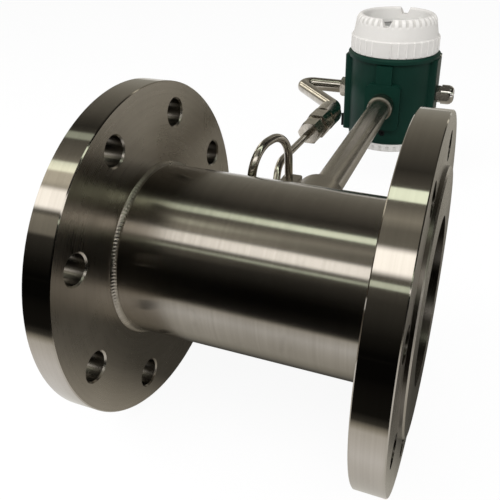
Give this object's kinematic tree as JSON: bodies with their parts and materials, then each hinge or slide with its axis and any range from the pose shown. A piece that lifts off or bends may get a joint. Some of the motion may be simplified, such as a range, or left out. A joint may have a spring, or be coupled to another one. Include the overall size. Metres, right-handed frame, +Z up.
{
  "type": "vortex flow meter",
  "caption": "Flanged stainless vortex flow meter: bored tube with bluff body and probe, level neck to a screw-covered electronics head, and a looped pressure line beside it.",
  "frame": {"origin": "centre of the inlet flange's bolting face, on the pipe axis", "axes": "+X along the flow from inlet to outlet, +Y along the neck to the electronics head, +Z up towards the display cover"},
  "size_m": [0.2086, 0.546, 0.22],
  "materials": {
    "brushed_steel": "brushed round the axis",
    "plated_steel": "bright plating",
    "green_paint": "satin powder coat",
    "white_paint": "satin powder coat",
    "black_paint": "satin black",
    "window_glass": "clear",
    "black_rubber": "matte",
    "gasket_sheet": "matte",
    "black_plastic": "matte",
    "light_plastic": "matte",
    "board": "satin solder mask",
    "terminal_plastic": "matte",
    "brass": "plain",
    "wire_jacket": "matte"
  },
  "bodies": {
    "meter": {"flow_tube": "brushed_steel", "inlet_flange": "brushed_steel", "outlet_flange": "brushed_steel", "inlet_weld": "brushed_steel", "outlet_weld": "brushed_steel", "shedder_bar": "brushed_steel", "sensor_boss": "brushed_steel", "tap_block": "brushed_steel", "vortex_probe": "brushed_steel", "probe_nut": "brushed_steel", "neck_tube": "brushed_steel", "neck_collar": "brushed_steel", "pigtail_tube": "brushed_steel", "compression_ferrule": "brushed_steel", "compression_nut": "brushed_steel", "pressure_sensor": "brushed_steel", "sensor_sleeve": "brushed_steel", "conduit_tube": "brushed_steel", "conduit_nut": "brushed_steel", "gland_body": "plated_steel", "gland_nut": "plated_steel", "gland_washer": "plated_steel", "ground_screw": "plated_steel", "cover_lock_screw": "plated_steel", "transmitter_housing": "green_paint", "ground_clamp": "black_paint", "wall_plug": "black_paint", "gland_insert": "black_rubber", "probe_gasket": "gasket_sheet", "display_module": "black_plastic", "display_frame": "light_plastic", "electronics_board": "board", "terminal_block": "terminal_plastic", "terminal_screws": "brass", "sensor_lead": "wire_jacket", "pressure_lead": "wire_jacket"},
    "front_travel": {"front_seal": "black_rubber"},
    "front_cap": {"front_cover": "white_paint", "display_window": "window_glass", "window_ring": "black_plastic"},
    "rear_travel": {"rear_seal": "black_rubber"},
    "rear_cap": {"rear_cover": "white_paint"}
  },
  "joints": [
    {"name": "front_cover_travel", "type": "slide", "parent": "meter", "child": "front_travel", "axis": [0, 0, 1], "range_m": [0, 0.0101]},
    {"name": "front_cover_turn", "type": "hinge", "parent": "front_travel", "child": "front_cap", "pos_m": [0.0985, 0.385, 0.049], "axis": [0, 0, 1], "range_deg": [0, 1440]},
    {"name": "rear_cover_travel", "type": "slide", "parent": "meter", "child": "rear_travel", "axis": [0, 0, -1], "range_m": [0, 0.0101]},
    {"name": "rear_cover_turn", "type": "hinge", "parent": "rear_travel", "child": "rear_cap", "pos_m": [0.0985, 0.385, -0.048], "axis": [0, 0, -1], "range_deg": [0, 1440]}
  ],
  "couplings": [
    {"joint": "front_cover_travel", "follows": "front_cover_turn", "m_per_rad": 0.00039789},
    {"joint": "rear_cover_travel", "follows": "rear_cover_turn", "m_per_rad": 0.00039789}
  ]
}
